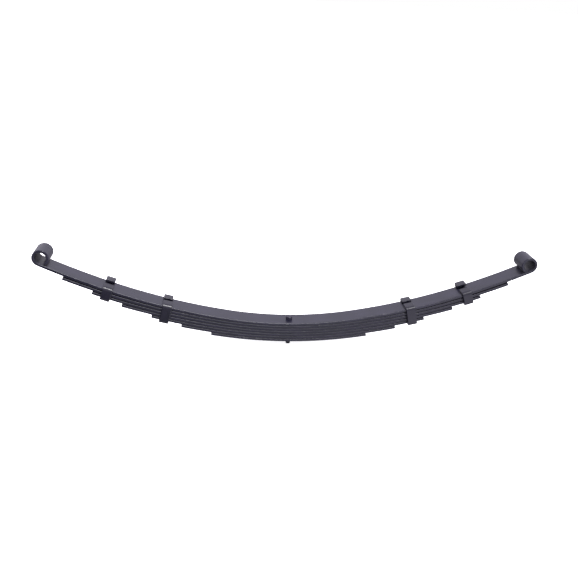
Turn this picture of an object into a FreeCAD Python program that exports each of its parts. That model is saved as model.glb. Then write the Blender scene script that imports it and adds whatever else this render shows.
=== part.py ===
import FreeCAD, Part
import math
import os

# Semi-elliptic leaf spring, in millimetres.
# Origin: centre-bolt axis, on the top of the main leaf (the axle seat).
# +X along the spring, +Y across the leaves, +Z up, towards the eyes.

V = FreeCAD.Vector

# Leaves
LEAF_COUNT = 7
LEAF_WIDTH = 50.0
LEAF_THICKNESS = 6.0
LEAF_GAP = 0.1
LEAF_EDGE_ROUND = 1.6
LEAF_PITCH = LEAF_THICKNESS + LEAF_GAP
SHORTEST_HALF_LENGTH = 161.5
HALF_LENGTH_STEP = 64.0

# Each leaf is this share flatter than the one above it, so the free leaves
# part a little towards their ends
LEAF_FLATTENING = 0.022

# Free shape of the main leaf's top face: tangent arcs, from the middle outwards
ARC_RADII = (835.0, 1380.0, 1750.0)
ARC_STARTS = (0.0, 130.0, 400.0)

# Eyes, rolled up from the ends of the main leaf
EYE_FOOT = 535.5
EYE_BORE_RADIUS = 11.5
EYE_TIP_ANGLE = 54.0
EYE_ARCS = 3

# Centre bolt and nut
BOLT_RADIUS = 5.0
BOLT_HOLE_RADIUS = 5.25
HEAD_RADIUS = 7.0
HEAD_HEIGHT = 7.0
BOLT_CHAMFER = 1.0
THREAD_PROJECTION = 14.0
NUT_ACROSS_FLATS = 16.0
NUT_HEIGHT = 8.0
NUT_SIDES = 6
NUT_CHAMFER_ANGLE = 30.0

# Clips: a strap riveted under one leaf and folded over the main leaf
STRAP_WIDTH = 20.0
STRAP_THICKNESS = 5.0
STRAP_BEND = 2.2
STRAP_EDGE_ROUND = 0.7
STRAP_SIDE_GAP = 0.4
STRAP_BASE_GAP = 0.06
TAB_END = 4.0
NEAR_TAB_GAP = 0.5
INNER_FAR_TAB_GAP = 1.9
OUTER_FAR_TAB_GAP = 4.7
INNER_CLIP_PLACE = 263.0
OUTER_CLIP_PLACE = 389.5
INNER_CLIP_LEAF = 5
OUTER_CLIP_LEAF = 3

# Clip rivets: round head below, flush head in the top of the leaf
RIVET_RADIUS = 4.0
RIVET_HOLE_RADIUS = 4.15
RIVET_STRAP_CLEARANCE = 0.02
RIVET_HEAD_RADIUS = 6.5
RIVET_HEAD_HEIGHT = 3.2
RIVET_SINK_RADIUS = 6.0
RIVET_SINK_DEPTH = 1.8
RIVET_TOP_RELIEF = 0.1

FULL_TURN = 360.0
CUT_REACH = 200.0


def arc_bounds(half_length):
    """Lengths at which the arcs of the top face start and end."""
    starts = [s for s in ARC_STARTS if s < half_length]
    return starts + [half_length]


def top_drop(leaf_number):
    """Depth of a leaf's top face below the main leaf's, at the middle."""
    return (leaf_number - 1) * LEAF_PITCH


def station(length, leaf_number=1):
    """x, z and slope of a leaf's top face, at a length along the main leaf."""
    drop = top_drop(leaf_number)
    flatter = 1 + LEAF_FLATTENING * (leaf_number - 1)
    x = 0.0
    z = -drop
    slope = 0.0
    bounds = arc_bounds(length)
    for main_radius, start, end in zip(ARC_RADII, bounds, bounds[1:]):
        radius = flatter * (main_radius + drop)
        turned = slope + (end - start) / (flatter * main_radius)
        x += radius * (math.sin(turned) - math.sin(slope))
        z += radius * (math.cos(slope) - math.cos(turned))
        slope = turned
    return x, z, slope


def point(length, leaf_number, depth, side):
    """Point at a depth below a leaf's top face, at a length from the middle."""
    x, z, slope = station(length, leaf_number)
    return V(side * (x + depth * math.sin(slope)), 0, z - depth * math.cos(slope))


def half_arcs(half_length, leaf_number, depth, side):
    """Arcs from the middle to one end, at a depth below a leaf's top face."""
    bounds = arc_bounds(half_length)
    edges = []
    for start, end in zip(bounds, bounds[1:]):
        lengths = (start, 0.5 * (start + end), end)
        ends = [point(length, leaf_number, depth, side) for length in lengths]
        edges.append(Part.Arc(*ends).toShape())
    return edges


def line(start, end):
    return Part.LineSegment(start, end).toShape()


def extrude_profile(edges):
    """A leaf: its closed side profile, extruded over the leaf's width."""
    wire = Part.Wire(Part.__sortEdges__(edges))
    face = Part.Face(wire)
    face.translate(V(0, -0.5 * LEAF_WIDTH, 0))
    return face.extrude(V(0, LEAF_WIDTH, 0))


def round_long_edges(leaf):
    """Rounds the edges along the leaf, but not the square-cut ends."""
    long_edges = []
    for edge in leaf.Edges:
        box = edge.BoundBox
        across = box.YLength > 0.5 * LEAF_WIDTH
        end_cut = edge.Length < 1.01 * LEAF_THICKNESS
        if not across and not end_cut:
            long_edges.append(edge)
    return leaf.makeFillet(LEAF_EDGE_ROUND, long_edges)


def upright_cylinder(radius, low, high):
    return Part.makeCylinder(radius, high - low, V(0, 0, low))


def placed(shape, length, leaf_number, side):
    """Moves a shape made at the origin to a station on a leaf's top face."""
    x, z, slope = station(length, leaf_number)
    moved = shape.copy()
    moved.rotate(V(0, 0, 0), V(0, 1, 0), -side * math.degrees(slope))
    moved.translate(V(side * x, 0, z))
    return moved


def rise_to_top(length, leaf_number):
    """Height of the main leaf's top face above a leaf's own, square to it."""
    x, z, slope = station(length, leaf_number)
    top_x, top_z, _ = station(length)
    return (top_z - z) * math.cos(slope) - (top_x - x) * math.sin(slope)


def half_length(leaf_number):
    return SHORTEST_HALF_LENGTH + (LEAF_COUNT - leaf_number) * HALF_LENGTH_STEP


def plain_leaf(leaf_number):
    """A square-cut leaf that lies under the one above it."""
    reach = half_length(leaf_number)
    edges = []
    for side in (-1, 1):
        edges += half_arcs(reach, leaf_number, 0.0, side)
        edges += half_arcs(reach, leaf_number, LEAF_THICKNESS, side)
        edges.append(line(point(reach, leaf_number, 0.0, side),
                          point(reach, leaf_number, LEAF_THICKNESS, side)))
    return round_long_edges(extrude_profile(edges))


def eye_point(radius, degrees, side):
    """Point around an eye; 0 degrees is the foot, and the roll turns up."""
    x, z, slope = station(EYE_FOOT)
    centre_x = x - EYE_BORE_RADIUS * math.sin(slope)
    centre_z = z + EYE_BORE_RADIUS * math.cos(slope)
    turn = slope + math.radians(degrees)
    return V(side * (centre_x + radius * math.sin(turn)), 0,
             centre_z - radius * math.cos(turn))


def eye_arcs(radius, side):
    """The roll of an eye, from its foot to its tip."""
    step = (FULL_TURN - EYE_TIP_ANGLE) / EYE_ARCS
    edges = []
    for number in range(EYE_ARCS):
        turns = [(number + part) * step for part in (0.0, 0.5, 1.0)]
        ends = [eye_point(radius, turn, side) for turn in turns]
        edges.append(Part.Arc(*ends).toShape())
    return edges


def main_leaf():
    """The top leaf, with an upturned open eye at each end."""
    outer_radius = EYE_BORE_RADIUS + LEAF_THICKNESS
    tip = FULL_TURN - EYE_TIP_ANGLE
    edges = []
    for side in (-1, 1):
        edges += half_arcs(EYE_FOOT, 1, 0.0, side)
        edges += half_arcs(EYE_FOOT, 1, LEAF_THICKNESS, side)
        edges += eye_arcs(EYE_BORE_RADIUS, side)
        edges += eye_arcs(outer_radius, side)
        edges.append(line(eye_point(EYE_BORE_RADIUS, tip, side),
                          eye_point(outer_radius, tip, side)))
    return round_long_edges(extrude_profile(edges))


def rivet_hole(leaf_number, place, side):
    """Countersunk hole for a clip rivet, through one leaf."""
    hole = upright_cylinder(RIVET_HOLE_RADIUS, -2 * LEAF_THICKNESS, LEAF_GAP)
    clearance = RIVET_HOLE_RADIUS - RIVET_RADIUS
    sink = Part.makeCone(RIVET_HOLE_RADIUS, RIVET_SINK_RADIUS + clearance,
                         RIVET_SINK_DEPTH, V(0, 0, -RIVET_SINK_DEPTH))
    mouth = upright_cylinder(RIVET_SINK_RADIUS + clearance, 0, LEAF_GAP)
    return placed(hole.fuse([sink, mouth]), place, leaf_number, side)


def leaf(leaf_number):
    """One leaf with its bolt hole, and rivet holes where it carries clips."""
    shape = main_leaf() if leaf_number == 1 else plain_leaf(leaf_number)
    holes = [upright_cylinder(BOLT_HOLE_RADIUS, -CUT_REACH, CUT_REACH)]
    for carrier, place in ((INNER_CLIP_LEAF, INNER_CLIP_PLACE),
                           (OUTER_CLIP_LEAF, OUTER_CLIP_PLACE)):
        if leaf_number == carrier:
            holes += [rivet_hole(carrier, place, side) for side in (-1, 1)]
    return shape.cut(holes)


def corner_arc(before, here, after, radius):
    """Start, middle and end of the arc that rounds a square corner."""
    back = (before - here).normalize()
    onward = (after - here).normalize()
    middle = here + (back + onward) * (radius * (1 - 1 / math.sqrt(2)))
    return here + back * radius, middle, here + onward * radius


def rounded_outline(corners):
    """Closed wire in the YZ plane; each corner is (y, z, radius)."""
    places = [V(0, y, z) for y, z, _ in corners]
    arcs = []
    for number, (_, _, radius) in enumerate(corners):
        after = places[(number + 1) % len(places)]
        arcs.append(corner_arc(places[number - 1], places[number], after, radius))
    edges = []
    for number, (start, middle, end) in enumerate(arcs):
        edges.append(line(arcs[number - 1][-1], start))
        if corners[number][-1] > 0:
            edges.append(Part.Arc(start, middle, end).toShape())
    return Part.Wire(edges)


def strap(rise, far_gap):
    """A clip bent round the leaves, from rise above its leaf's top face."""
    wall = 0.5 * LEAF_WIDTH + STRAP_SIDE_GAP
    outer = wall + STRAP_THICKNESS
    base = -LEAF_THICKNESS - STRAP_BASE_GAP
    low = base - STRAP_THICKNESS
    near = rise + NEAR_TAB_GAP
    far = rise + far_gap
    near_top = near + STRAP_THICKNESS
    far_top = far + STRAP_THICKNESS
    bend = STRAP_BEND
    wide_bend = STRAP_BEND + STRAP_THICKNESS
    corners = [(-TAB_END, near, 0), (-wall, near, bend),
               (-wall, base, bend), (wall, base, bend),
               (wall, far, bend), (TAB_END, far, 0),
               (TAB_END, far_top, 0), (outer, far_top, wide_bend),
               (outer, low, wide_bend), (-outer, low, wide_bend),
               (-outer, near_top, wide_bend), (-TAB_END, near_top, 0)]
    face = Part.Face(rounded_outline(corners))
    face.translate(V(-0.5 * STRAP_WIDTH, 0, 0))
    return face.extrude(V(STRAP_WIDTH, 0, 0))


def round_strap_edges(shape):
    """Breaks the edges along both sides of the strap."""
    edges = []
    for edge in shape.Edges:
        if edge.BoundBox.XLength < 0.5 * STRAP_WIDTH:
            edges.append(edge)
    return shape.makeFillet(STRAP_EDGE_ROUND, edges)


def clip(leaf_number, far_gap, place, side):
    """A finished clip with its rivet hole, at its place on the spring."""
    shape = round_strap_edges(strap(rise_to_top(place, leaf_number), far_gap))
    radius = RIVET_RADIUS + RIVET_STRAP_CLEARANCE
    hole = upright_cylinder(radius, -LEAF_THICKNESS - 3 * STRAP_THICKNESS, 0)
    return placed(shape.cut(hole), place, leaf_number, side)


def rivet(leaf_number, place, side):
    """Rivet that holds a clip under its leaf."""
    top = -RIVET_TOP_RELIEF
    low = -LEAF_THICKNESS - STRAP_BASE_GAP - STRAP_THICKNESS
    shank = upright_cylinder(RIVET_RADIUS, low, top)
    flush = Part.makeCone(RIVET_RADIUS, RIVET_SINK_RADIUS, RIVET_SINK_DEPTH,
                          V(0, 0, top - RIVET_SINK_DEPTH))
    dome_radius = (RIVET_HEAD_RADIUS ** 2 + RIVET_HEAD_HEIGHT ** 2) / (2 * RIVET_HEAD_HEIGHT)
    ball = Part.makeSphere(dome_radius, V(0, 0, low - RIVET_HEAD_HEIGHT + dome_radius))
    slab = upright_cylinder(dome_radius, low - RIVET_HEAD_HEIGHT, low)
    return placed(shank.fuse([flush, ball.common(slab)]), place, leaf_number, side)


def pack_bottom():
    return -top_drop(LEAF_COUNT) - LEAF_THICKNESS


def centre_bolt():
    """Round-headed bolt through all the leaves; its head locates the axle."""
    head = upright_cylinder(HEAD_RADIUS, 0, HEAD_HEIGHT)
    shank = upright_cylinder(BOLT_RADIUS, pack_bottom() - THREAD_PROJECTION, 0)
    bolt = head.fuse(shank).removeSplitter()
    low = bolt.BoundBox.ZMin
    ends = [edge for edge in bolt.Edges
            if edge.BoundBox.ZLength < BOLT_CHAMFER
            and (edge.BoundBox.ZMin > HEAD_HEIGHT - BOLT_CHAMFER
                 or edge.BoundBox.ZMax < low + BOLT_CHAMFER)]
    return bolt.makeChamfer(BOLT_CHAMFER, ends)


def centre_nut():
    """Hexagon nut under the shortest leaf, chamfered on its lower face."""
    side_turn = FULL_TURN / NUT_SIDES
    flat_radius = 0.5 * NUT_ACROSS_FLATS
    corner_radius = flat_radius / math.cos(math.radians(0.5 * side_turn))
    chamfer = (corner_radius - flat_radius) * math.tan(math.radians(NUT_CHAMFER_ANGLE))
    corners = []
    for number in range(NUT_SIDES + 1):
        turn = math.radians(number * side_turn)
        corners.append(V(corner_radius * math.cos(turn), corner_radius * math.sin(turn), 0))
    prism = Part.Face(Part.makePolygon(corners)).extrude(V(0, 0, -NUT_HEIGHT))
    blank = upright_cylinder(corner_radius, chamfer - NUT_HEIGHT, 0)
    cone = Part.makeCone(flat_radius, corner_radius, chamfer, V(0, 0, -NUT_HEIGHT))
    nut = prism.common(blank.fuse(cone))
    bore = upright_cylinder(BOLT_RADIUS, -2 * NUT_HEIGHT, NUT_HEIGHT)
    nut = nut.cut(bore)
    nut.translate(V(0, 0, pack_bottom()))
    return nut


def all_nodes():
    """Every sub-part of the spring, by its name."""
    nodes = {"main_leaf": leaf(1)}
    for leaf_number in range(2, LEAF_COUNT + 1):
        nodes["leaf_%d" % leaf_number] = leaf(leaf_number)
    nodes["centre_bolt"] = centre_bolt()
    nodes["centre_bolt_nut"] = centre_nut()
    clips = (("inner", INNER_CLIP_LEAF, INNER_FAR_TAB_GAP, INNER_CLIP_PLACE),
             ("outer", OUTER_CLIP_LEAF, OUTER_FAR_TAB_GAP, OUTER_CLIP_PLACE))
    for side_name, side in (("left", -1), ("right", 1)):
        for clip_name, carrier, far_gap, place in clips:
            name = side_name + "_" + clip_name
            nodes[name + "_clip"] = clip(carrier, far_gap, place, side)
            nodes[name + "_clip_rivet"] = rivet(carrier, place, side)
    return nodes


os.makedirs("parts", exist_ok=True)
for name, shape in all_nodes().items():
    shape.exportStep("parts/" + name + ".step")
    print(name, shape.isValid(), len(shape.Solids), round(shape.Volume), shape.BoundBox)
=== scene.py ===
import math
import random

import bpy
from mathutils import Matrix, Vector


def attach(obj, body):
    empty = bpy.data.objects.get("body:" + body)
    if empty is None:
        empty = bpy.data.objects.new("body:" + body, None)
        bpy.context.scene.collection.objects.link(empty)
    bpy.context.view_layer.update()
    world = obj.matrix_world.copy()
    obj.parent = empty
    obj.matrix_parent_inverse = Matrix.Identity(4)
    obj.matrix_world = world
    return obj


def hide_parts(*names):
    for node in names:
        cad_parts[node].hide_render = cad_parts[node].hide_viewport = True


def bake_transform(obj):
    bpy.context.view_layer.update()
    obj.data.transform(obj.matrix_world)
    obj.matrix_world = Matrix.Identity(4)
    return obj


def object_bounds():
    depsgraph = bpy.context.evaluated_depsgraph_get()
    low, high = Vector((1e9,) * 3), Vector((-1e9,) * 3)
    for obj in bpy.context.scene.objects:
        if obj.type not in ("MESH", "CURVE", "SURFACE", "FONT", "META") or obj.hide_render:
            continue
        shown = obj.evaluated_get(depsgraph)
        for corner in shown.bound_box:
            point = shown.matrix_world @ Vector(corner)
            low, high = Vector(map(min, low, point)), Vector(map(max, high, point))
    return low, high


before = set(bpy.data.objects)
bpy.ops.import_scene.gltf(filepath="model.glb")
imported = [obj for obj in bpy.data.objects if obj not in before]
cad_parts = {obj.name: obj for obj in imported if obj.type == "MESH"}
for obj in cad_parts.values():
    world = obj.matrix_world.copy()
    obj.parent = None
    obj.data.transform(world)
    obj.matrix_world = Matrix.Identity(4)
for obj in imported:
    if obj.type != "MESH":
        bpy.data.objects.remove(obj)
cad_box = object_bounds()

# Semi-elliptic leaf spring, in metres, in the frame of the CAD model.
# Origin on the centre-bolt axis at the top of the main leaf, +X along the
# spring, +Y across the leaves, +Z up towards the eyes.

MM = 0.001
random.seed(7)

# Leaves
LEAF_COUNT = 7
LEAF_WIDTH = 50 * MM
LEAF_THICKNESS = 6 * MM
LEAF_PITCH = 6.1 * MM
LEAF_EDGE_ROUND = 1.6 * MM
LEAF_CUT_BEVEL = 0.45 * MM
SHORTEST_HALF_LENGTH = 161.5 * MM
HALF_LENGTH_STEP = 64 * MM
LEAF_FLATTENING = 0.022
RING_SPACING = 5 * MM

# Share of a bar's flat face that a line next to each rounding keeps flat
FLAT_HOLD = 0.02
# Edges that turn by more than this are drawn sharp
SHARP_DEGREES = 32

# Free shape of the main leaf's top face: tangent arcs, from the middle outwards
ARC_RADII = (835 * MM, 1380 * MM, 1750 * MM)
ARC_STARTS = (0.0, 130 * MM, 400 * MM)

# Eyes
EYE_FOOT = 535.5 * MM
EYE_BORE_RADIUS = 11.5 * MM
EYE_ROLL = 306
EYE_RING_STEP = 4.5

# Painted shade, from 0 to 1: how much darker, and also duller, the paint is drawn on the
# wall of an eye, from a turn just before its foot, and in the gaps between leaves, where shade
# falls
BORE_SHADE_AND_DULLNESS = 0.4
GAP_SHADE_AND_DULLNESS = 0.33
BORE_SHADE_START = -12
BORE_SHADE_TURN = 20

# Clips
STRAP_WIDTH = 20 * MM
STRAP_THICKNESS = 5 * MM
STRAP_BEND = 2.2 * MM
STRAP_EDGE_ROUND = 0.8 * MM
STRAP_SIDE_GAP = 0.4 * MM
STRAP_BASE_GAP = 0.06 * MM
STRAP_BULGE = 0.022
STRAP_BEND_STEPS = 8
STRAP_BASE = -LEAF_THICKNESS - STRAP_BASE_GAP
# Sheared end of a strap, in mm: distance back, narrowing and thinning
STRAP_SHEAR = ((0, 0.7, 0.45), (0.25, 0.3, 0.12), (0.6, 0.08, 0), (1.6, 0, 0))
TAB_END = 4 * MM
NEAR_TAB_GAP = 0.5 * MM
CLIPS = {
    "inner": {"leaf": 5, "place": 263 * MM, "far_gap": 1.9 * MM},
    "outer": {"leaf": 3, "place": 389.5 * MM, "far_gap": 4.7 * MM},
}

# Rivets
RIVET_HEAD_RADIUS = 6.5 * MM
RIVET_HEAD_HEIGHT = 3.2 * MM
RIVET_TIP_RADIUS = 0.02 * MM
RIVET_SHANK_RADIUS = 4 * MM
RIVET_LEVELS = 14
RIVET_DENTS = 6
RIVET_DENT = 0.006

# Centre bolt
HEAD_RADIUS = 7 * MM
HEAD_HEIGHT = 7 * MM
HEAD_FOOT_INSET = 0.25 * MM
HEAD_FOOT_HEIGHT = 0.3 * MM
# Crown of the head, in mm: distance in from its side and down from its top
HEAD_CROWN = ((0, 1.1), (0.12, 0.7), (0.5, 0.25), (1.1, 0.04), (2.2, 0))
HEAD_WORN_DEPTH = 1.2 * MM
DISH_RADIUS = 0.3 * MM
DISH_DEPTH = 0.05 * MM
BOLT_RADIUS = 5 * MM
BOLT_TIP_CHAMFER = 1.3 * MM
THREAD_PITCH = 1.5 * MM
THREAD_DEPTH = 0.85 * MM
THREAD_LEVEL_STEP = 0.12 * MM
THREAD_PROJECTION = 14 * MM

# Nut
NUT_ACROSS_FLATS = 16 * MM
NUT_HEIGHT = 8 * MM
NUT_BORE_RADIUS = 4.6 * MM
NUT_MOUTH_RADIUS = 5.6 * MM
NUT_MOUTH_DEPTH = 0.9 * MM
NUT_FACE_INSET = 0.35 * MM
NUT_CHAMFER_START = 0.12 * MM
NUT_CHAMFER_RISE = 0.9 * MM
NUT_CHAMFER_STEPS = 7
NUT_SIDE_LOW = 1.3 * MM
NUT_SIDE_HIGH = 0.4 * MM

# Where the leaves bend between the bodies, as lengths from the middle
SEAT_HALF_LENGTH = 40 * MM
CLIP_MARGIN = 11 * MM
SPLIT = CLIPS["inner"]["place"]

SIDES = {"left": -1, "right": 1}
ACROSS = Vector((0, 1, 0))

# Studio: the camera's angles are yaw to the right, pitch down and roll, in degrees
CAMERA_LENS = 46.3
CAMERA_PLACE = (-0.1705, -1.4668, 0.6630)
CAMERA_TURN = (6.499, 21.878, 3.085)
LAMP_STRENGTH = 3.7
LAMP_ANGLE = 26
LAMP_DIRECTION = (-0.21, 0.41, -0.89)
SURROUNDINGS_TINT = (1.0, 0.965, 1.10, 1)
WHITE = (1, 1, 1, 1)
FLOOR_REACH = 60.0
FLOOR_GLOW = 0.85


# ---------------------------------------------------------------- the curve

def station(length, leaf_number=1):
    """x, z and slope of a leaf's top face, at a length along the main leaf."""
    drop = (leaf_number - 1) * LEAF_PITCH
    flatter = 1 + LEAF_FLATTENING * (leaf_number - 1)
    x = 0.0
    z = -drop
    slope = 0.0
    starts = [start for start in ARC_STARTS if start < length]
    bounds = starts + [length]
    for main_radius, start, end in zip(ARC_RADII, bounds, bounds[1:]):
        radius = flatter * (main_radius + drop)
        turned = slope + (end - start) / (flatter * main_radius)
        x += radius * (math.sin(turned) - math.sin(slope))
        z += radius * (math.cos(slope) - math.cos(turned))
        slope = turned
    return x, z, slope


def station_frame(length, leaf_number, side):
    """Point on a leaf's top face, direction towards the spring's end, and normal."""
    x, z, slope = station(length, leaf_number)
    along = Vector((side * math.cos(slope), 0, math.sin(slope)))
    normal = Vector((-side * math.sin(slope), 0, math.cos(slope)))
    return Vector((side * x, 0, z)), along, normal


def station_matrix(length, leaf_number, side):
    """Places a shape made at the origin at a station on a leaf's top face."""
    origin, along, normal = station_frame(length, leaf_number, side)
    across = normal.cross(side * along)
    turn = Matrix((side * along, across, normal)).transposed().to_4x4()
    return Matrix.Translation(origin) @ turn


def rise_to_top(length, leaf_number):
    """Height of the main leaf's top face above a leaf's own, square to it."""
    top = station_frame(length, 1, 1)[0]
    origin, _, normal = station_frame(length, leaf_number, 1)
    return (top - origin).dot(normal)


def eye_frame(degrees, side):
    """Point on the bore of an eye, and the normal that faces its centre."""
    x, z, slope = station(EYE_FOOT)
    turn = slope + math.radians(degrees)
    normal = Vector((-side * math.sin(turn), 0, math.cos(turn)))
    foot_normal = Vector((-side * math.sin(slope), 0, math.cos(slope)))
    centre = Vector((side * x, 0, z)) + EYE_BORE_RADIUS * foot_normal
    return centre - EYE_BORE_RADIUS * normal, normal


# ------------------------------------------------------------ mesh building

def bar_section(width, thickness, edge_round, corner_steps=6, flat_steps=4):
    """Outline of a bar, as (across, up, edge); its top face is at up = 0."""
    half = 0.5 * width - edge_round
    centres = ((half, -edge_round, 0), (-half, -edge_round, 90),
               (-half, edge_round - thickness, 180), (half, edge_round - thickness, 270))
    outline = []
    for number, (across, up, turned) in enumerate(centres):
        for step in range(corner_steps + 1):
            turn = math.radians(turned + 90 * step / corner_steps)
            edge = math.sin(math.pi * step / corner_steps)
            outline.append((across + edge_round * math.cos(turn),
                            up + edge_round * math.sin(turn), edge))
        if number % 2 == 0:
            start = outline[-1]
            inner = [step / flat_steps for step in range(1, flat_steps)]
            for share in [FLAT_HOLD] + inner + [1 - FLAT_HOLD]:
                outline.append((start[0] * (1 - 2 * share), start[1], 0.0))
    return outline


def make_mesh(name, points, faces, coords, edges, material, shelter=()):
    """Mesh object with the attributes that its paint reads.

    grain holds coordinates that follow the metal, edge is 1 on roundings and
    cuts, and shelter is painted shade: how much darker and duller the paint is.
    """
    mesh = bpy.data.meshes.new(name)
    mesh.from_pydata([tuple(point) for point in points], [], faces)
    grain = mesh.attributes.new("grain", "FLOAT_VECTOR", "POINT")
    grain.data.foreach_set("vector", [value for coord in coords for value in coord])
    edge = mesh.attributes.new("edge", "FLOAT", "POINT")
    edge.data.foreach_set("value", list(edges))
    # Painted shade: how much darker and duller the paint is drawn at each point
    painted_shade_and_dullness_layer = mesh.attributes.new("shelter", "FLOAT", "POINT")
    painted_shade_and_dullness_layer.data.foreach_set("value", list(shelter) or [0.0] * len(points))
    mesh.validate()
    for polygon in mesh.polygons:
        polygon.use_smooth = True
    mesh.set_sharp_from_angle(angle=math.radians(SHARP_DEGREES))
    mesh.materials.append(material)
    piece = bpy.data.objects.new(name, mesh)
    bpy.context.scene.collection.objects.link(piece)
    return piece


def sweep(name, section, rings, material, layer=0.0, painted_shade_and_dullness_at=None):
    """Bar along rings of (origin, across, up, along, inset, flare).

    inset is (across, up), taken off each side of the section; flare widens
    the top of the section and narrows its bottom, as a cold bend does.
    painted_shade_and_dullness_at(length, up) gives the painted shade, darker and duller paint,
    at a point of the section.
    """
    points = []
    coords = []
    edges = []
    shelter = []
    half_width = max(point[0] for point in section)
    thickness = -min(point[1] for point in section)
    for origin, across_axis, up_axis, along, inset, flare in rings:
        across_scale = 1 - inset[0] / half_width
        up_scale = 1 - 2 * inset[1] / thickness
        for across, up, edge in section:
            spread = 1 + flare * (1 + 2 * up / thickness)
            wide = across * across_scale * spread
            deep = -0.5 * thickness + (up + 0.5 * thickness) * up_scale
            points.append(origin + wide * across_axis + deep * up_axis)
            coords.append((along, across + layer, up))
            edges.append(max(edge, 1.0 if inset[1] > 0 else 0.0))
            shelter.append(painted_shade_and_dullness_at(abs(along), up) if painted_shade_and_dullness_at else 0.0)
    count = len(section)
    faces = []
    for ring in range(len(rings) - 1):
        for spot in range(count):
            after = (spot + 1) % count
            faces.append((ring * count + spot, ring * count + after,
                          (ring + 1) * count + after, (ring + 1) * count + spot))
    last = (len(rings) - 1) * count
    faces.append(tuple(reversed(range(count))))
    faces.append(tuple(range(last, last + count)))
    if faces_point_inwards(points, count):
        faces = [tuple(reversed(face)) for face in faces]
    return make_mesh(name, points, faces, coords, edges, material, shelter)


def faces_point_inwards(points, count):
    """True if the first ring runs the wrong way round for the sweep."""
    first = points[:count]
    middle = sum(first, Vector()) / count
    turning = Vector()
    for spot in range(count):
        turning += (first[spot] - middle).cross(first[(spot + 1) % count] - middle)
    onward = sum(points[count:2 * count], Vector()) / count - middle
    return turning.dot(onward) < 0


def turned(name, radius_at, levels, edge_at, material, matrix, steps=96, layer=0.0):
    """Solid of revolution; radius_at(level, turn) may vary round the axis."""
    points = []
    coords = []
    edges = []
    for number, (radius, height) in enumerate(levels):
        for step in range(steps):
            turn = 2 * math.pi * step / steps
            reach = radius_at(radius, height, turn)
            local = Vector((reach * math.cos(turn), reach * math.sin(turn), height))
            points.append(matrix @ local)
            coords.append((local.x + layer, local.y, local.z))
            edges.append(edge_at[number])
    faces = []
    for level in range(len(levels) - 1):
        for step in range(steps):
            after = (step + 1) % steps
            faces.append((level * steps + step, level * steps + after,
                          (level + 1) * steps + after, (level + 1) * steps + step))
    last = (len(levels) - 1) * steps
    faces.append(tuple(reversed(range(steps))))
    faces.append(tuple(range(last, last + steps)))
    return make_mesh(name, points, faces, coords, edges, material)


# ---------------------------------------------------------------- materials

def add_node(tree, kind, inputs=(), **settings):
    """Adds a shader node; each input is (socket, value or (node, output))."""
    made = tree.nodes.new(kind)
    for key, value in settings.items():
        setattr(made, key, value)
    for socket, value in inputs:
        if isinstance(value, tuple) and isinstance(value[0], bpy.types.Node):
            tree.links.new(value[0].outputs[value[1]], made.inputs[socket])
        else:
            made.inputs[socket].default_value = value
    return made


def math_node(tree, operation, first, second, clamp=False):
    made = add_node(tree, "ShaderNodeMath", ((0, first), (1, second)),
                    operation=operation, use_clamp=clamp)
    return (made, 0)


def scaled(tree, value, share, offset):
    """value * share + offset"""
    made = add_node(tree, "ShaderNodeMath", ((0, value), (1, share), (2, offset)),
                    operation="MULTIPLY_ADD")
    return (made, 0)


def grain_noise(tree, scale, stretch=(1, 1, 1), detail=4.0, roughness=0.55):
    """Noise over the metal's own coordinates; stretch is along, across, up."""
    coords = add_node(tree, "ShaderNodeAttribute", attribute_name="grain")
    mapped = add_node(tree, "ShaderNodeMapping",
                      (("Vector", (coords, "Vector")), ("Scale", stretch)))
    noise = add_node(tree, "ShaderNodeTexNoise",
                     (("Vector", (mapped, "Vector")), ("Scale", scale),
                      ("Detail", detail), ("Roughness", roughness)))
    return (noise, 0)


def stepped(tree, value, low, high):
    """0 below low, 1 above high, smooth between them."""
    made = add_node(tree, "ShaderNodeMapRange",
                    (("Value", value), ("From Min", low), ("From Max", high)),
                    interpolation_type="SMOOTHSTEP")
    return (made, 0)


def mixed(tree, factor, first, second):
    made = add_node(tree, "ShaderNodeMix", ((0, factor), (6, first), (7, second)),
                    data_type="RGBA")
    return (made, 2)


def attribute(tree, name):
    """A number that the mesh carries at each point."""
    return (add_node(tree, "ShaderNodeAttribute", attribute_name=name), "Fac")


def connect(tree, value, shader, socket):
    made, output = value
    tree.links.new(made.outputs[output], shader.inputs[socket])


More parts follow.
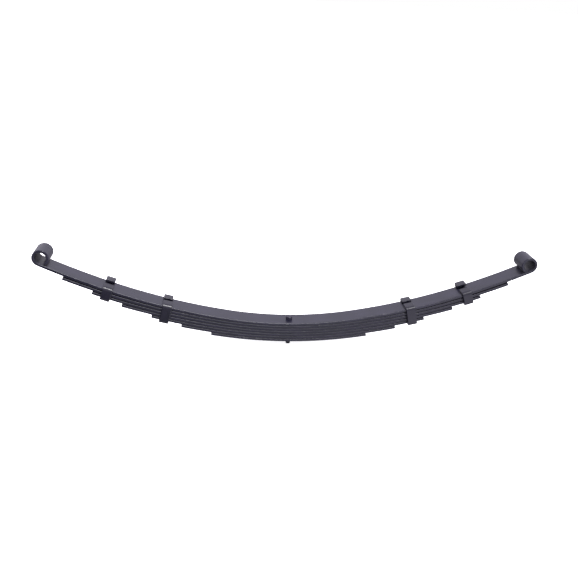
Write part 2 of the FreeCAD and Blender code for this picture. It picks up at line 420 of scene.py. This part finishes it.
def paint(name, colour, light_colour, roughness, wear):
    """Black chassis paint over steel, with mottling, orange peel and worn edges."""
    material = bpy.data.materials.new(name)
    material.use_nodes = True
    tree = material.node_tree
    shader = tree.nodes["Principled BSDF"]
    shader.inputs["Specular IOR Level"].default_value = 0.44

    mottle = grain_noise(tree, 38, (0.6, 1, 1), 5, 0.6)
    streak = grain_noise(tree, 420, (0.06, 1, 1), 3, 0.5)
    fine = grain_noise(tree, 900, (1, 1, 1), 2, 0.5)
    peel = grain_noise(tree, 330, (1, 1, 1), 1, 0.4)

    # Colour: greyer where dust and thin spray lie
    shade = stepped(tree, mottle, 0.35, 0.72)
    base = mixed(tree, shade, colour, light_colour)
    # Painted shade: nearly black paint in the eye bores and the gaps between leaves, where
    # shade falls
    shelter = attribute(tree, "shelter")
    base = mixed(tree, shelter, base, (0.003, 0.003, 0.006, 1))

    # Wear: broken chips of bare steel along the rounded edges
    chips = grain_noise(tree, 260, (0.35, 1, 1), 6, 0.7)
    rubbed = math_node(tree, "MULTIPLY", attribute(tree, "edge"),
                       stepped(tree, chips, 0.58, 0.66))
    worn = math_node(tree, "MULTIPLY", rubbed, wear, clamp=True)
    steel = mixed(tree, fine, (0.16, 0.155, 0.15, 1), (0.34, 0.33, 0.32, 1))
    connect(tree, mixed(tree, worn, base, steel), shader, "Base Color")
    connect(tree, worn, shader, "Metallic")

    # Roughness: streaks along the rolled bar, duller where it is mottled or in painted shade
    dull = scaled(tree, shade, 0.03, roughness - 0.04)
    gloss = math_node(tree, "ADD", dull, scaled(tree, streak, 0.08, -0.015))
    gloss = math_node(tree, "ADD", gloss, scaled(tree, shelter, 0.55, 0.0))
    connect(tree, gloss, shader, "Roughness")

    # Relief: orange peel, rolling streaks, dust, and steps at the chips
    relief = math_node(tree, "ADD", peel, scaled(tree, streak, 0.7, 0.0))
    relief = math_node(tree, "ADD", relief, scaled(tree, fine, 0.25, 0.0))
    relief = math_node(tree, "SUBTRACT", relief, scaled(tree, worn, 1.5, 0.0))
    bump = add_node(tree, "ShaderNodeBump",
                    (("Height", relief), ("Strength", 0.8), ("Distance", 0.00006)))
    connect(tree, (bump, "Normal"), shader, "Normal")
    return material


# ------------------------------------------------------------------- leaves

LEAF_SECTION = bar_section(LEAF_WIDTH, LEAF_THICKNESS, LEAF_EDGE_ROUND)
LEAF_LAYER = 0.09


def half_length(leaf_number):
    return SHORTEST_HALF_LENGTH + (LEAF_COUNT - leaf_number) * HALF_LENGTH_STEP


def leaf_ring(length, leaf_number, side, inset=(0, 0)):
    origin, _, normal = station_frame(length, leaf_number, side)
    return origin, ACROSS, normal, side * length, inset, 0.0


def bore_shade_and_dullness(length, up):
    """Painted shade and dullness on the main leaf: the wall of the bore, from a little past its
    foot.
    """
    turn = math.degrees((length - EYE_FOOT) / (EYE_BORE_RADIUS + 0.5 * LEAF_THICKNESS))
    share = min(1.0, max(0.0, (turn - BORE_SHADE_START) / BORE_SHADE_TURN))
    return BORE_SHADE_AND_DULLNESS * share if up > -LEAF_EDGE_ROUND else 0.0


def gap_shade_and_dullness(_, up):
    """Painted shade and dullness on the other leaves: the upper roundings, in the gap below a
    leaf.
    """
    return GAP_SHADE_AND_DULLNESS if up > -LEAF_EDGE_ROUND else 0.0


def spaced(start, end, spacing):
    count = max(1, math.ceil((end - start) / spacing))
    return [start + (end - start) * number / count for number in range(count + 1)]


def leaf_rings(leaf_number, side, start, end):
    """Rings from start towards the leaf's end; a cut end gets a small bevel."""
    reach = half_length(leaf_number)
    is_tip = leaf_number > 1 and abs(end - reach) < LEAF_CUT_BEVEL
    last = end - LEAF_CUT_BEVEL if is_tip else end
    rings = [leaf_ring(length, leaf_number, side)
             for length in spaced(start, last, RING_SPACING)]
    if is_tip:
        bevel = (LEAF_CUT_BEVEL, LEAF_CUT_BEVEL)
        rings.append(leaf_ring(end, leaf_number, side, bevel))
    return rings


def eye_rings(side):
    """Rings round an eye, from just past its foot to the bevelled tip."""
    mid_radius = EYE_BORE_RADIUS + 0.5 * LEAF_THICKNESS
    bevel_turn = math.degrees(LEAF_CUT_BEVEL / mid_radius)
    rings = []
    for degrees in spaced(0, EYE_ROLL - bevel_turn, EYE_RING_STEP)[1:]:
        origin, normal = eye_frame(degrees, side)
        along = side * (EYE_FOOT + mid_radius * math.radians(degrees))
        rings.append((origin, ACROSS, normal, along, (0, 0), 0.0))
    origin, normal = eye_frame(EYE_ROLL, side)
    along = side * (EYE_FOOT + mid_radius * math.radians(EYE_ROLL))
    bevel = (LEAF_CUT_BEVEL, LEAF_CUT_BEVEL)
    rings.append((origin, ACROSS, normal, along, bevel, 0.0))
    return rings


def bend_zone(side_name, span):
    """Bodies that a stretch of leaf joins, and where its bend starts and ends."""
    side = SIDES[side_name]
    inner = CLIPS["inner"]["place"]
    outer = CLIPS["outer"]["place"]
    if span == "inner":
        bodies = ("root", side_name + "_inner_span")
        lengths = (SEAT_HALF_LENGTH, inner - CLIP_MARGIN)
    else:
        bodies = (side_name + "_inner_span", side_name + "_outer_span")
        lengths = (inner + CLIP_MARGIN, outer - CLIP_MARGIN)
    start, end = (station_frame(length, 1, side)[0] for length in lengths)
    return bodies, start, end


def make_leaf(leaf_number, material):
    """A leaf as stretches that meet under a clip."""
    node = "main_leaf" if leaf_number == 1 else "leaf_%d" % leaf_number
    reach = EYE_FOOT if leaf_number == 1 else half_length(leaf_number)
    for side_name, side in SIDES.items():
        stretches = [("inner", 0.0, min(reach, SPLIT))]
        if reach > SPLIT:
            stretches.append(("outer", SPLIT, reach))
        for span, start, end in stretches:
            rings = leaf_rings(leaf_number, side, start, end)
            if leaf_number == 1 and span == "outer":
                rings += eye_rings(side)
            name = "%s_%s_%s" % (node, side_name, span)
            # Painted shade: on the wall of each eye of the main leaf, and in the gaps of the
            # other leaves
            piece = sweep(name, LEAF_SECTION, rings, material, leaf_number * LEAF_LAYER,
                          bore_shade_and_dullness if leaf_number == 1 else gap_shade_and_dullness)
            bodies, zone_start, zone_end = bend_zone(side_name, span)
            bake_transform(piece)
            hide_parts(node)


# -------------------------------------------------------------------- clips

STRAP_SECTION = bar_section(STRAP_WIDTH, STRAP_THICKNESS, STRAP_EDGE_ROUND, 4, 2)


def strap_corners(rise, far_gap):
    """Inner outline of the strap, from rise above its leaf's top face."""
    wall = 0.5 * LEAF_WIDTH + STRAP_SIDE_GAP
    near = rise + NEAR_TAB_GAP
    far = rise + far_gap
    return [(-TAB_END, near), (-wall, near), (-wall, STRAP_BASE),
            (wall, STRAP_BASE), (wall, far), (TAB_END, far)]


def strap_path(corners):
    """(point, inward normal, bend share) along the strap's inner face."""
    vectors = [Vector((0, across, up)) for across, up in corners]
    path = []
    for number, here in enumerate(vectors):
        first = number == 0
        last = number == len(vectors) - 1
        if first or last:
            other = vectors[1] if first else vectors[-2]
            run = (other - here) if first else (here - other)
            run.normalize()
            path.append((here, Vector((0, -run.z, run.y)), 0.0))
            continue
        arriving = (here - vectors[number - 1]).normalized()
        leaving = (vectors[number + 1] - here).normalized()
        centre = here - STRAP_BEND * arriving + STRAP_BEND * leaving
        for step in range(STRAP_BEND_STEPS + 1):
            share = step / STRAP_BEND_STEPS
            turn = 0.5 * math.pi * share
            outward = math.cos(turn) * -leaving + math.sin(turn) * arriving
            path.append((centre + STRAP_BEND * outward, -outward,
                         math.sin(math.pi * share)))
    return path


def strap_rings(corners):
    """Rings along the strap, with a sheared end on each tab."""
    path = strap_path(corners)
    rings = []
    travelled = 0.0
    for number, (point, normal, bend) in enumerate(path):
        if number:
            before = path[number - 1]
            travelled += (point - before[0]).length
        rings.append((point, Vector((1, 0, 0)), normal, travelled, (0, 0),
                      STRAP_BULGE * bend))
    start = strap_end(rings[0], rings[1], 1)
    finish = strap_end(rings[-1], rings[-2], -1)
    return start + rings[1:-1] + finish[::-1]


def strap_end(end, beside, sense):
    """Rings of a sheared end, from the cut inwards: bevelled, its corners taken off."""
    origin, across, up, along = end[:4]
    inward = (beside[0] - origin).normalized()
    return [(origin + back * MM * inward, across, up, along + sense * back * MM,
             (narrow * MM, thin * MM), 0.0)
            for back, narrow, thin in STRAP_SHEAR]


def make_clip(side_name, clip_name, strap_material, rivet_material):
    """A clip and its rivet, riding on the stretch of spring that it holds."""
    shape = CLIPS[clip_name]
    node = "%s_%s_clip" % (side_name, clip_name)
    body = "%s_%s_span" % (side_name, clip_name)
    matrix = station_matrix(shape["place"], shape["leaf"], SIDES[side_name])
    rise = rise_to_top(shape["place"], shape["leaf"])
    rings = strap_rings(strap_corners(rise, shape["far_gap"]))
    placed = [(matrix @ ring[0], matrix.to_3x3() @ ring[1], matrix.to_3x3() @ ring[2])
              + ring[3:] for ring in rings]
    layer = SIDES[side_name] * shape["place"]
    strap = sweep(node + "_strap", STRAP_SECTION, placed, strap_material, layer)
    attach(strap, body)
    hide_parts(node)

    below = Matrix.Translation((0, 0, STRAP_BASE - STRAP_THICKNESS))
    head = rivet_head(node + "_rivet_head", rivet_material, matrix @ below, layer)
    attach(head, body)
    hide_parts(node + "_rivet")


def rivet_head(name, material, matrix, layer):
    """Hammered round head that hangs below the strap, with a stub of shank."""
    dents = [random.uniform(-1, 1) for _ in range(RIVET_DENTS)]

    def radius_at(radius, height, turn):
        wobble = sum(dent * math.cos((number + 2) * turn + 3 * dent)
                     for number, dent in enumerate(dents))
        return radius * (1 + RIVET_DENT * wobble)

    arc_radius = (RIVET_HEAD_RADIUS ** 2 + RIVET_HEAD_HEIGHT ** 2) / (2 * RIVET_HEAD_HEIGHT)
    levels = []
    edge_at = []
    for number in range(RIVET_LEVELS + 1):
        height = -RIVET_HEAD_HEIGHT * (1 - (number / RIVET_LEVELS) ** 2)
        below = height + RIVET_HEAD_HEIGHT - arc_radius
        radius = math.sqrt(max(arc_radius ** 2 - below ** 2, 0))
        levels.append((max(radius, RIVET_TIP_RADIUS), height))
        edge_at.append(0.4 if number < 4 else 0.0)
    levels += [(RIVET_SHANK_RADIUS, 0.0), (RIVET_SHANK_RADIUS, STRAP_THICKNESS)]
    edge_at += [0.0, 0.0]
    return turned(name, radius_at, levels, edge_at, material, matrix, 48, layer)


# -------------------------------------------------------------- bolt and nut

def pack_bottom():
    return -(LEAF_COUNT - 1) * LEAF_PITCH - LEAF_THICKNESS


def make_bolt(material):
    """Round-headed bolt with a rolled thread on its lower end."""
    bottom = pack_bottom() - THREAD_PROJECTION
    thread_top = pack_bottom() - NUT_HEIGHT + 2 * THREAD_PITCH
    levels = [(BOLT_RADIUS - BOLT_TIP_CHAMFER, bottom)]
    levels += [(BOLT_RADIUS, height)
               for height in spaced(bottom, thread_top, THREAD_LEVEL_STEP)]
    levels += [(BOLT_RADIUS, 0.0), (HEAD_RADIUS - HEAD_FOOT_INSET, 0.0),
               (HEAD_RADIUS, HEAD_FOOT_HEIGHT)]
    levels += [(HEAD_RADIUS - inwards * MM, HEAD_HEIGHT - down * MM)
               for inwards, down in HEAD_CROWN]
    levels.append((DISH_RADIUS, HEAD_HEIGHT - DISH_DEPTH))

    def radius_at(radius, height, turn):
        if height > thread_top or height <= bottom:
            return radius
        phase = (height / THREAD_PITCH - turn / (2 * math.pi)) % 1.0
        flank = abs(2 * phase - 1)
        cut = THREAD_DEPTH * min(1.0, max(0.0, 1.25 * flank - 0.12))
        run_out = min(1.0, (thread_top - height) / THREAD_PITCH)
        chamfer = BOLT_RADIUS - BOLT_TIP_CHAMFER + (height - bottom)
        return min(radius - cut * run_out, chamfer)

    edge_at = [0.6 if HEAD_HEIGHT - HEAD_WORN_DEPTH < height < HEAD_HEIGHT else 0.0
               for _, height in levels]
    bolt = turned("centre_bolt_turned", radius_at, levels, edge_at, material,
                  Matrix.Identity(4), 72)
    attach(bolt, "root")
    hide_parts("centre_bolt")


def hexagon_reach(turn, flat):
    """Distance from the axis to a hexagon with the given half width."""
    from_flat = turn % (math.pi / 3) - math.pi / 6
    return flat / math.cos(from_flat)


def chamfer_rises():
    """Heights of the chamfer's levels above the nut's lower face."""
    return [NUT_CHAMFER_START + NUT_CHAMFER_RISE * number / NUT_CHAMFER_STEPS
            for number in range(NUT_CHAMFER_STEPS + 1)]


def make_nut(material):
    """Hexagon nut, chamfered below, with a countersunk mouth."""
    flat = 0.5 * NUT_ACROSS_FLATS
    top = pack_bottom()
    low = top - NUT_HEIGHT

    def radius_at(radius, height, turn):
        return min(radius, hexagon_reach(turn, flat))

    face = flat - NUT_FACE_INSET
    levels = [(NUT_BORE_RADIUS, low + NUT_MOUTH_DEPTH), (NUT_MOUTH_RADIUS, low), (face, low)]
    for rise in chamfer_rises():
        levels.append((face + rise * math.sqrt(3), low + rise))
    levels += [(2 * flat, low + NUT_SIDE_LOW), (2 * flat, top - NUT_SIDE_HIGH),
               (2 * flat, top), (NUT_BORE_RADIUS, top)]
    edge_at = [0.0] * 3 + [0.5] * (NUT_CHAMFER_STEPS + 1) + [0.2] * 4
    nut = turned("centre_bolt_nut_hexagon", radius_at, levels, edge_at, material,
                 Matrix.Identity(4), 96, 0.3)
    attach(nut, "root")
    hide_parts("centre_bolt_nut")


# -------------------------------------------------------------------- studio

def make_camera():
    """A normal lens a little to the left, looking down on the spring."""
    data = bpy.data.cameras.new("camera")
    data.sensor_width = 36
    data.lens = CAMERA_LENS
    data.clip_end = 200
    camera = bpy.data.objects.new("camera", data)
    bpy.context.scene.collection.objects.link(camera)
    yaw, pitch, roll = (math.radians(value) for value in CAMERA_TURN)
    forward = Vector((math.sin(yaw) * math.cos(pitch), math.cos(yaw) * math.cos(pitch),
                      -math.sin(pitch)))
    level = Vector((math.cos(yaw), -math.sin(yaw), 0))
    upright = level.cross(forward)
    right = level * math.cos(roll) + upright * math.sin(roll)
    top = upright * math.cos(roll) - level * math.sin(roll)
    turn = Matrix((right, top, -forward)).transposed().to_4x4()
    camera.matrix_world = Matrix.Translation(CAMERA_PLACE) @ turn
    bpy.context.scene.camera = camera


def blended(tree, factor, first, second):
    """Number that goes from first to second as factor goes from 0 to 1."""
    made = add_node(tree, "ShaderNodeMix", ((0, factor), (2, first), (3, second)),
                    data_type="FLOAT")
    return (made, 0)


def ramp(tree, value, from_range, to_range):
    """Straight line between two values, level beyond them."""
    made = add_node(tree, "ShaderNodeMapRange",
                    (("Value", value), ("From Min", from_range[0]), ("From Max", from_range[1]),
                     ("To Min", to_range[0]), ("To Max", to_range[1])))
    return (made, 0)


def sky_brightness(tree):
    """Brightness of the surroundings by direction.

    The ceiling is pale, and a little dimmer to the right. At floor level it is
    dim at the front left, bright at the front right and even behind, and
    straight down it is nearly white.
    """
    direction = add_node(tree, "ShaderNodeTexCoord")
    parts = add_node(tree, "ShaderNodeSeparateXYZ", ((0, (direction, "Generated")),))
    rightwards = (parts, "X")
    backwards = (parts, "Y")
    upwards = (parts, "Z")
    ceiling = math_node(tree, "MULTIPLY",
                        ramp(tree, upwards, (0, 1), (0.91, 1.14)),
                        ramp(tree, rightwards, (-0.1, 0.4), (1.0, 0.9)))
    front = ramp(tree, rightwards, (-0.13, 0.25), (0.06, 1.75))
    low = blended(tree, stepped(tree, backwards, -0.5, 0.1), front, 0.5)
    under = blended(tree, stepped(tree, upwards, -0.5, -0.8), low, 0.9)
    return blended(tree, stepped(tree, upwards, -0.14, 0.04), under, ceiling)


def make_light():
    """Soft surroundings, which the camera sees as plain white, and a broad lamp."""
    world = bpy.data.worlds.new("studio")
    world.use_nodes = True
    tree = world.node_tree
    background = tree.nodes["Background"]
    seen = (add_node(tree, "ShaderNodeLightPath"), "Is Camera Ray")
    connect(tree, mixed(tree, seen, SURROUNDINGS_TINT, WHITE), background, "Color")
    connect(tree, blended(tree, seen, sky_brightness(tree), 1.0), background, "Strength")
    bpy.context.scene.world = world

    lamp = bpy.data.lights.new("lamp", "SUN")
    lamp.energy = LAMP_STRENGTH
    lamp.angle = math.radians(LAMP_ANGLE)
    light = bpy.data.objects.new("lamp", lamp)
    light.rotation_euler = Vector(LAMP_DIRECTION).to_track_quat("-Z", "Y").to_euler()
    bpy.context.scene.collection.objects.link(light)


def make_floor():
    """Plain white floor just below the bolt; it isn't seen in reflections."""
    material = bpy.data.materials.new("floor")
    material.use_nodes = True
    shader = material.node_tree.nodes["Principled BSDF"]
    shader.inputs["Base Color"].default_value = (0.93, 0.93, 0.93, 1)
    shader.inputs["Emission Color"].default_value = WHITE
    shader.inputs["Emission Strength"].default_value = FLOOR_GLOW
    shader.inputs["Roughness"].default_value = 0.9
    shader.inputs["Specular IOR Level"].default_value = 0.0
    level = cad_box[0].z - 0.1 * MM
    corners = [(across * FLOOR_REACH, back * FLOOR_REACH, level)
               for across, back in ((-1, -1), (1, -1), (1, 1), (-1, 1))]
    mesh = bpy.data.meshes.new("floor")
    mesh.from_pydata(corners, [], [(0, 1, 2, 3)])
    mesh.materials.append(material)
    floor = bpy.data.objects.new("floor", mesh)
    floor.visible_glossy = False
    floor.visible_diffuse = False
    bpy.context.scene.collection.objects.link(floor)


# -------------------------------------------------------------------- object

def main():
    leaf_paint = paint("leaf_paint", (0.007, 0.007, 0.016, 1),
                       (0.014, 0.013, 0.027, 1), 0.30, 0.35)
    clip_paint = paint("clip_paint", (0.004, 0.004, 0.010, 1),
                       (0.009, 0.008, 0.017, 1), 0.29, 0.4)
    fastener_paint = paint("fastener_paint", (0.009, 0.008, 0.018, 1),
                           (0.018, 0.017, 0.030, 1), 0.28, 0.5)
    make_camera()
    bpy.context.scene.view_settings.view_transform = "Standard"
    make_light()
    make_floor()
    for leaf_number in range(1, LEAF_COUNT + 1):
        make_leaf(leaf_number, leaf_paint)
    for side_name in SIDES:
        for clip_name in CLIPS:
            make_clip(side_name, clip_name, clip_paint, fastener_paint)
    make_bolt(fastener_paint)
    make_nut(fastener_paint)


main()
